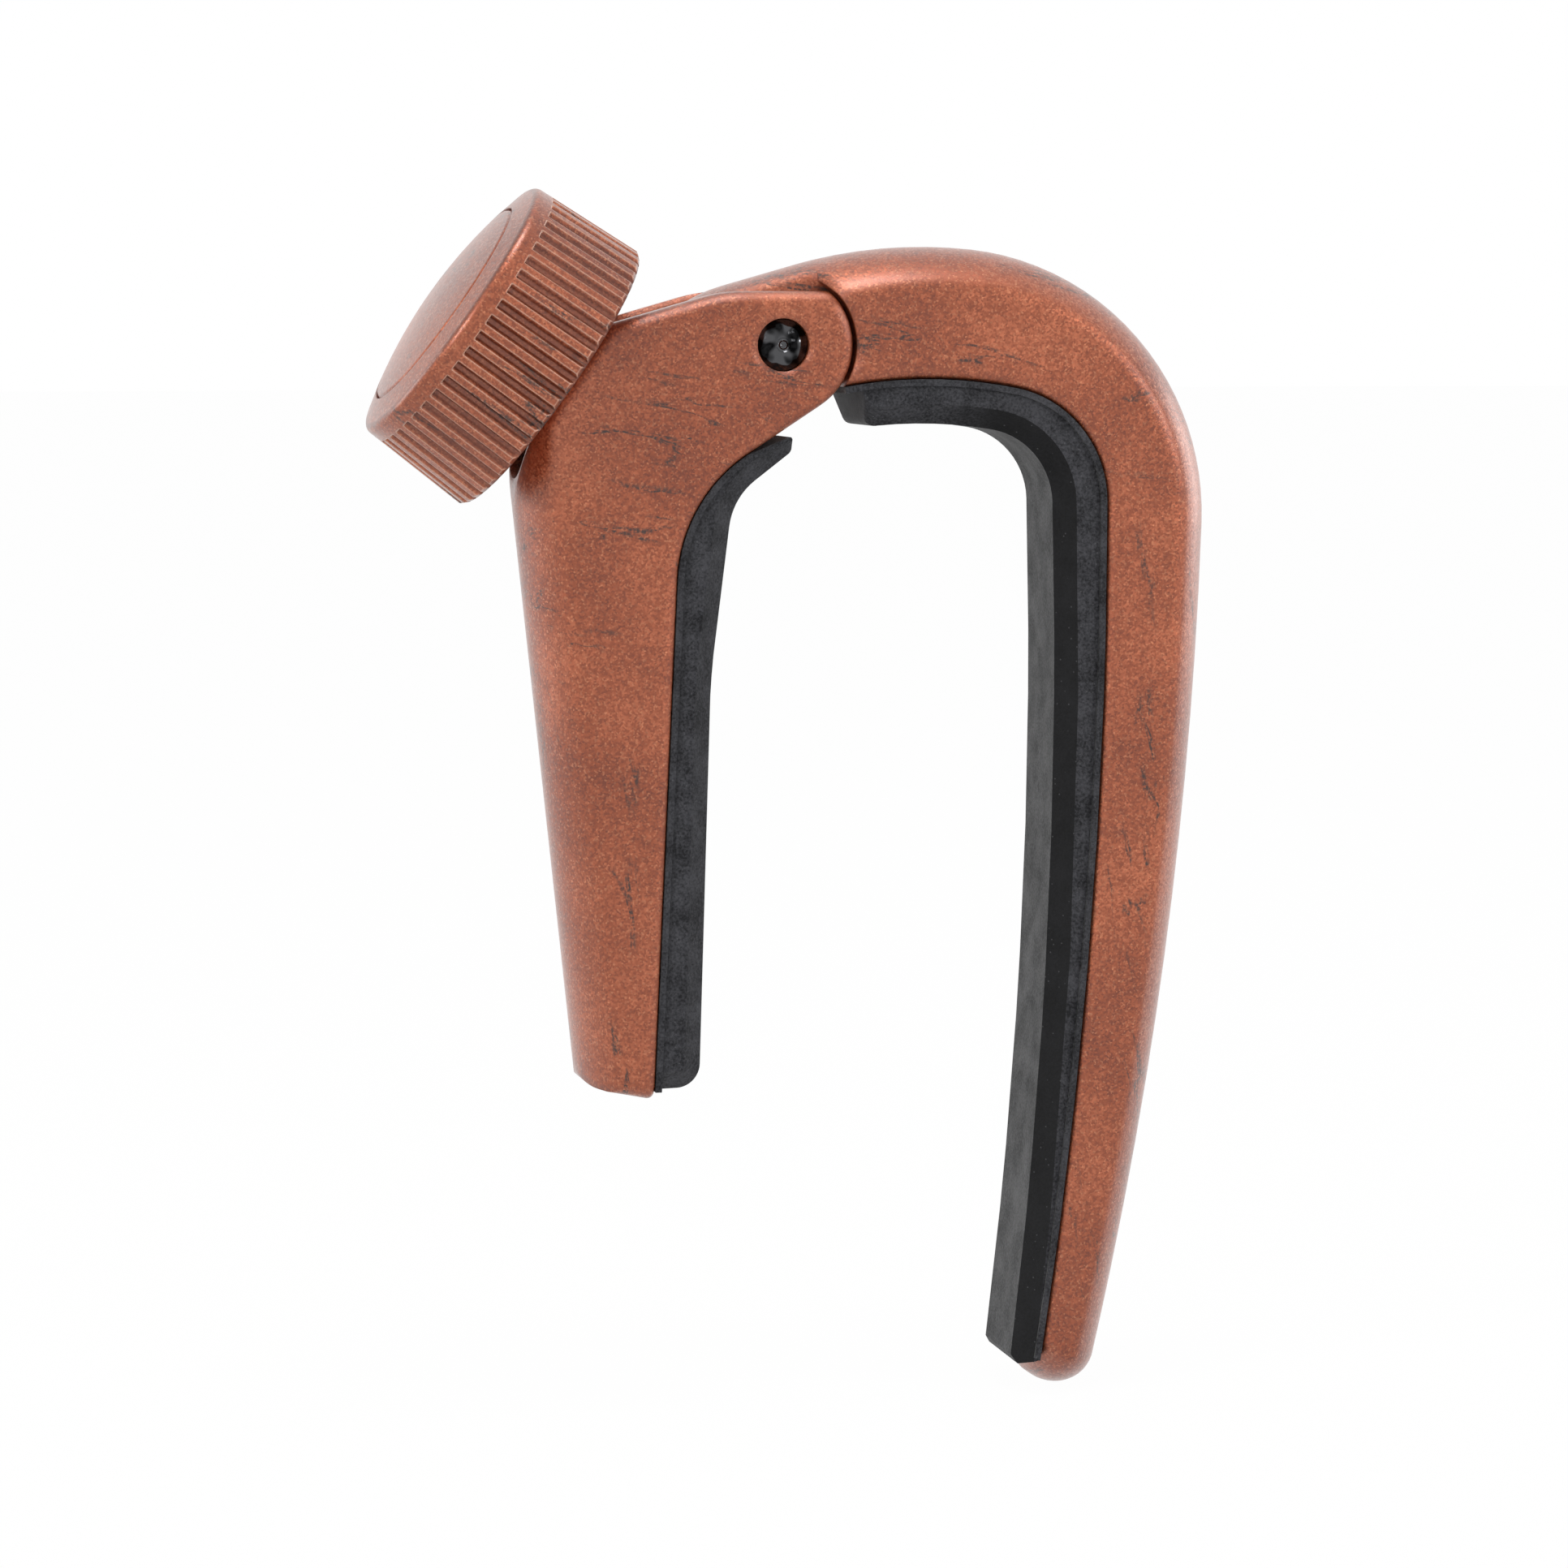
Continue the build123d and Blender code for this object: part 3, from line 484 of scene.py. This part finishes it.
def natural_nylon(name):
    """Stamped natural nylon: off-white and slightly waxy, as it lets a little light through."""
    finish, tree, place = new_finish(name)
    clouding = add(tree, "ShaderNodeTexNoise", Vector=place, Scale=0.8, Detail=3.0)
    colour = add(tree, "ShaderNodeValToRGB", Fac=clouding.outputs["Fac"])
    set_stops(colour, (0.3, "#CFCBBF"), (0.7, "#EAE7DE"))
    bump = add(
        tree, "ShaderNodeBump", Strength=0.2, Distance=0.03 * MM, Height=clouding.outputs["Fac"]
    )
    rough = add(
        tree, "ShaderNodeMapRange",
        Value=clouding.outputs["Fac"], From_Min=0.3, From_Max=0.7, To_Min=0.36, To_Max=0.50,
    )
    shader = add(
        tree, "ShaderNodeBsdfPrincipled",
        Base_Color=colour.outputs["Color"], Roughness=rough.outputs[0], IOR=1.53,
        Normal=bump.outputs[0], Subsurface_Weight=0.15, Subsurface_Scale=0.6 * MM,
    )
    add(tree, "ShaderNodeOutputMaterial", Surface=shader.outputs[0])
    return finish


def bare_metal(name, dark, light, smoothest, roughest, marks_per_mm):
    """Bare turned, drawn or plated metal, whose fine marks blur its reflections.

    There are so many to the millimetre along X, Y and Z. Where the numbers differ, the marks run
    the way that has the fewest.
    """
    finish, tree, place = new_finish(name)
    stretched = add(tree, "ShaderNodeMapping", Vector=place, Scale=marks_per_mm)
    marks = add(
        tree, "ShaderNodeTexNoise", Vector=stretched.outputs[0], Scale=1.0, Detail=4.0, Roughness=0.65
    )
    colour = add(tree, "ShaderNodeValToRGB", Fac=marks.outputs["Fac"])
    set_stops(colour, (0.3, dark), (0.7, light))
    rough = add(
        tree, "ShaderNodeMapRange",
        Value=marks.outputs["Fac"], From_Min=0.3, From_Max=0.7, To_Min=smoothest, To_Max=roughest,
    )
    bump = add(
        tree, "ShaderNodeBump", Strength=0.25, Distance=0.03 * MM, Height=marks.outputs["Fac"]
    )
    shader = add(
        tree, "ShaderNodeBsdfPrincipled",
        Base_Color=colour.outputs["Color"], Metallic=1.0, Roughness=rough.outputs[0],
        Normal=bump.outputs[0],
    )
    add(tree, "ShaderNodeOutputMaterial", Surface=shader.outputs[0])
    return finish


# ---- the capo's finishes on its parts ------------------------------------------------------------
pin_low, pin_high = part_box("hinge_pin")
pin_x = (pin_low[0] + pin_high[0]) / 2 / MM
pin_z = (pin_low[2] + pin_high[2]) / 2 / MM

knob_joint = next(joint for joint in frame["joints"] if joint["name"] == "knob_turn")
knob_foot = Vector(knob_joint["pos_m"]) / MM
knob_axis = -Vector(knob_joint["axis"])
knob_foot_radius, knob_rim_radius, knob_height = 11.2, 10.7, 8.9  # over the crests of the ribs
knob_taper = (knob_foot_radius - knob_rim_radius) / knob_height

# the wisps lie nearly level on the arch, nearly upright down the arms and aslant on the knob
level_tilt = math.radians(8)
slanting_tilt = math.radians(35)
upright_tilt = math.radians(82)
lacquer_frame = copper_lacquer(
    "lacquer_frame", softness=1.4, high_tilt=level_tilt, low_tilt=upright_tilt,
    turn_from=20.0, turn_to=42.0, shift=(3.0, 0.0, 7.0),
)
lacquer_jaw = copper_lacquer(
    "lacquer_jaw", softness=1.1, high_tilt=level_tilt, low_tilt=upright_tilt,
    turn_from=10.0, turn_to=24.0, shift=(11.0, 4.0, 2.0),
)
# the whole knob stands above the heights between which its wisps would turn upright
lacquer_knob = copper_lacquer(
    "lacquer_knob", softness=0.20, high_tilt=slanting_tilt, low_tilt=upright_tilt,
    turn_from=-40.0, turn_to=-30.0, shift=(5.0, 9.0, 1.0),
    ribs=(knob_foot, knob_axis, knob_foot_radius, knob_taper),
)
pin_steel = blacked_steel("blacked_steel_pin", pin_x, pin_z)
nylon = natural_nylon("natural_nylon")
nut_brass = bare_metal(
    "turned_brass", "#A98541", "#D2B068", smoothest=0.25, roughest=0.40, marks_per_mm=(2, 14, 2)
)
screw_steel = bare_metal(
    "zinc_plated_steel", "#8B8D90", "#B9BBBE", smoothest=0.26, roughest=0.42, marks_per_mm=(8, 3, 8)
)

for part_name, part_finish, edge_width in (
    ("frame", lacquer_frame, 0.12),
    ("jaw", lacquer_jaw, 0.25),
    ("knob", lacquer_knob, 0.10),
    ("knob_cap", lacquer_knob, 0.08),
    ("hinge_pin", pin_steel, 0.05),
    ("hinge_washer_front", nylon, 0.0),
    ("hinge_washer_back", nylon, 0.0),
    ("thrust_washer", nylon, 0.0),
    ("barrel_nut", nut_brass, 0.05),
    ("clamp_screw", screw_steel, 0.0),
):
    finish_part(part_name, part_finish, edge_width)


# ---- rubber pads ---------------------------------------------------------------------------------
pad_half_width = 5.15          # without its thin flange
moulded_corner = 0.22          # radius of every moulded edge
creased = math.radians(20)     # faces that meet more sharply than this have an edge between them

# string pad, its end beside the ears
end_reach, end_top = 5.96, 3.32  # beyond and below the pin
end_rake = 0.22                # back from the ears for each millimetre down

# neck pad, its free lip; the jaw's line leaves the ear as a tangent, and the lip follows it
ear_radius = 5.2
ear_line_heading = math.radians(213)
lip_tip, lip_root = 2.7, 4.3   # the free part, along that line from the ear
lip_thickness = 2.0
lip_slant = 0.395              # of the lip's end, which the flange is trimmed to
lip_glue, lip_shoulder = 0.25, 4.94  # depth of the glued face, and half width beyond it
lip_gap = 0.75                 # air under the tip of the lip
lip_sag = Vector((0.2, 0.0, -0.98))


def free_lip(shape):
    """Bend the free upper lip of the neck pad away from the jaw, which leaves a thin wedge of air."""
    along_jaw = Vector((math.cos(ear_line_heading), 0.0, math.sin(ear_line_heading)))
    off_jaw = Vector((-math.sin(ear_line_heading), 0.0, math.cos(ear_line_heading)))
    ear_end = Vector((pin_x, 0.0, pin_z)) + ear_radius * off_jaw
    for point in shape.verts:
        from_ear = point.co / MM - ear_end
        run = from_ear.dot(along_jaw)
        depth = from_ear.dot(off_jaw)
        if run < lip_root and depth < lip_thickness:
            past_end = max(0.0, lip_tip + lip_slant * depth - run)
            point.co += along_jaw * past_end * MM
            share = (lip_root - run - past_end) / (lip_root - lip_tip)
            point.co += lip_sag * share * (1.0 - depth / lip_thickness) * lip_gap * MM
            half_width = lip_shoulder if depth > lip_glue else pad_half_width
            point.co.y = max(-half_width * MM, min(half_width * MM, point.co.y))


def raked_end(shape):
    """Rake the string pad's end back from the ears towards the pressing face."""
    for point in shape.verts:
        ahead = point.co.x / MM - pin_x - end_reach
        below = pin_z - end_top - point.co.z / MM
        on_end = abs(ahead) < 0.06
        if on_end and below > 0.01:
            point.co.x += end_rake * below * MM


def creased_edges(shape):
    """The edges of a pad at which two faces meet sharply."""
    shape.normal_update()
    return [
        edge for edge in shape.edges
        if len(edge.link_faces) == 2 and edge.calc_face_angle() > creased
    ]


def end_edges(shape, facing, lowest, sideways):
    """The outer edges round the end of a pad that is beside the ears, without its thin flange.

    That end faces one way along X and lies above a height, and the faces at its edges lean
    sideways less than a limit.
    """
    return [
        edge for edge in creased_edges(shape)
        if min(v.co.z for v in edge.verts) / MM > lowest and edge.is_convex
        and max(abs(v.co.y) for v in edge.verts) / MM < pad_half_width + 0.05
        and max(face.normal.x * facing for face in edge.link_faces) > 0.85
        and all(abs(face.normal.y) < sideways for face in edge.link_faces)
    ]


def round_edges(shape, edges, radius, segments, profile):
    """Round some edges of a pad by a radius."""
    bmesh.ops.bevel(
        shape, geom=edges, offset=radius * MM, offset_type="OFFSET", segments=segments,
        profile=profile, affect="EDGES", clamp_overlap=True,
    )


def rubber_pad(name, node, body, finish, shaped, end, end_radius):
    """A moulded pad in its CAD solid's place, shaped further and with every moulded edge rounded."""
    mesh = frame["nodes"][node].data.copy()
    shape = bmesh.new()
    shape.from_mesh(mesh)
    shaped(shape)
    bmesh.ops.remove_doubles(shape, verts=shape.verts, dist=0.03 * MM)
    bmesh.ops.dissolve_limit(
        shape, angle_limit=math.radians(1.0), verts=shape.verts, edges=shape.edges
    )
    round_edges(shape, end_edges(shape, **end), end_radius, segments=6, profile=0.5)
    round_edges(shape, creased_edges(shape), moulded_corner, segments=3, profile=0.6)
    shape.to_mesh(mesh)
    shape.free()
    pad = smooth_piece(name, mesh, finish)
    evened = pad.modifiers.new("flat faces kept flat", "WEIGHTED_NORMAL")
    evened.keep_sharp = False
    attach(pad, body)
    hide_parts(node)


# the bevel's painted shade comes in round the corner of the arch, before the string pad's pressing
# face at X 0
rubber = moulded_rubber(
    "moulded_rubber", bevel_from=-9.0, bevel_to=-3.5, string_from=pin_x + 6.2, neck_to=pin_x + 4.7
)
rubber_pad(
    "string_pad_rubber", "string_pad", "frame", rubber,
    shaped=raked_end, end={"facing": -1.0, "lowest": pin_z - 7.0, "sideways": 0.9}, end_radius=0.75,
)
rubber_pad(
    "neck_pad_rubber", "neck_pad", "jaw", rubber,
    shaped=free_lip, end={"facing": 1.0, "lowest": pin_z - 8.2, "sideways": 0.3}, end_radius=0.42,
)


def winding_spring(finish):
    """The opening spring in its CAD solid's place, as a smooth-shaded copy of its mesh.

    One leg sits in the tongue and the other against the jaw; the copy does not wind up or move as the
    jaw swings.
    """
    mesh = frame["nodes"]["opening_spring"].data.copy()
    spring = smooth_piece("opening_spring_wire", mesh, finish)
    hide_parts("opening_spring")
    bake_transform(spring)


spring_steel = bare_metal(
    "drawn_spring_steel", "#77787A", "#A9AAAC", smoothest=0.22, roughest=0.36, marks_per_mm=(6, 6, 6)
)
winding_spring(spring_steel)


# ---- floor, lamps and camera ---------------------------------------------------------------------
def seen_plainly(tree):
    """1 for what the camera sees, directly, in gloss or through glass, and 0 for light on the capo."""
    seen = add(tree, "ShaderNodeLightPath")
    reflected = add(
        tree, "ShaderNodeMath", {"operation": "MAXIMUM"},
        _0=seen.outputs["Is Camera Ray"], _1=seen.outputs["Is Glossy Ray"],
    )
    return add(
        tree, "ShaderNodeMath", {"operation": "MAXIMUM"},
        _0=reflected.outputs[0], _1=seen.outputs["Is Transmission Ray"],
    ).outputs[0]


def pale_floor(lowest):
    """Off-white paper at a height in metres, which shows as white and keeps a trace of shadow."""
    mesh = bpy.data.meshes.new("floor")
    half = 4000 * MM
    mesh.from_pydata(
        [(-half, -half, lowest), (half, -half, lowest), (half, half, lowest), (-half, half, lowest)],
        [], [(0, 1, 2, 3)],
    )
    floor = in_scene("floor", mesh)
    material = bpy.data.materials.new("white_paper")
    material.use_nodes = True
    tree = material.node_tree
    tree.nodes.clear()
    paper = add(tree, "ShaderNodeBsdfDiffuse", Color=linear("#F2F2F1"))
    white = add(tree, "ShaderNodeEmission", Color=linear("#FFFFFF"), Strength=1.0)
    part = add(tree, "ShaderNodeMath", {"operation": "MULTIPLY"}, _0=seen_plainly(tree), _1=0.98)
    mixed = add(
        tree, "ShaderNodeMixShader", _0=part.outputs[0], _1=paper.outputs[0], _2=white.outputs[0]
    )
    add(tree, "ShaderNodeOutputMaterial", Surface=mixed.outputs[0])
    mesh.materials.append(material)


def white_room():
    """Even surroundings that light the capo at half strength, and are plain white when seen."""
    world = bpy.data.worlds.new("white_room")
    world.use_nodes = True
    tree = world.node_tree
    tree.nodes.clear()
    strength = add(
        tree, "ShaderNodeMapRange", Value=seen_plainly(tree),
        From_Min=0.0, From_Max=1.0, To_Min=0.50, To_Max=1.0,
    )
    room = add(tree, "ShaderNodeBackground", Color=linear("#FFFFFF"), Strength=strength.outputs[0])
    add(tree, "ShaderNodeOutputWorld", Surface=room.outputs[0])
    bpy.context.scene.world = world


def turn_towards(thing, place, aim):
    """Put a lamp or camera at a place and turn it to an aim point."""
    thing.location = Vector(place) * MM
    thing.rotation_euler = (Vector(aim) - Vector(place)).to_track_quat("-Z", "Y").to_euler()


def soft_lamp(name, place, aim, size, power):
    """A square soft box at a place, turned to an aim point."""
    lamp = bpy.data.lights.new(name, "AREA")
    lamp.shape = "SQUARE"
    lamp.size = size * MM
    lamp.energy = power
    turn_towards(in_scene(name, lamp), place, aim)


pale_floor(cad_box[0][2])
white_room()
capo_middle = (-19.0, 0.0, 10.0)
for lamp_name, lamp_place, lamp_size, lamp_power in (
    ("lamp_left", (-420, -260, 220), 120, 0.75),
    ("lamp_right", (380, -300, 160), 120, 0.55),
    ("lamp_top", (-20, -80, 460), 150, 0.80),
    ("lamp_back_left", (-460, 240, 90), 200, 0.35),
    ("lamp_back_right", (440, 210, 90), 200, 0.28),
):
    soft_lamp(lamp_name, lamp_place, capo_middle, lamp_size, lamp_power)

# a long lens, 0.38 m from the capo
lens = bpy.data.cameras.new("camera")
lens.lens = 119.25
lens.sensor_width = 36.0
lens.clip_start = 10 * MM
camera = in_scene("camera", lens)
turn_towards(camera, place=(-101.32, -373.38, 46.74), aim=(-19.225, 0.0, 10.60))
bpy.context.scene.camera = camera
bpy.context.scene.view_settings.view_transform = "Standard"
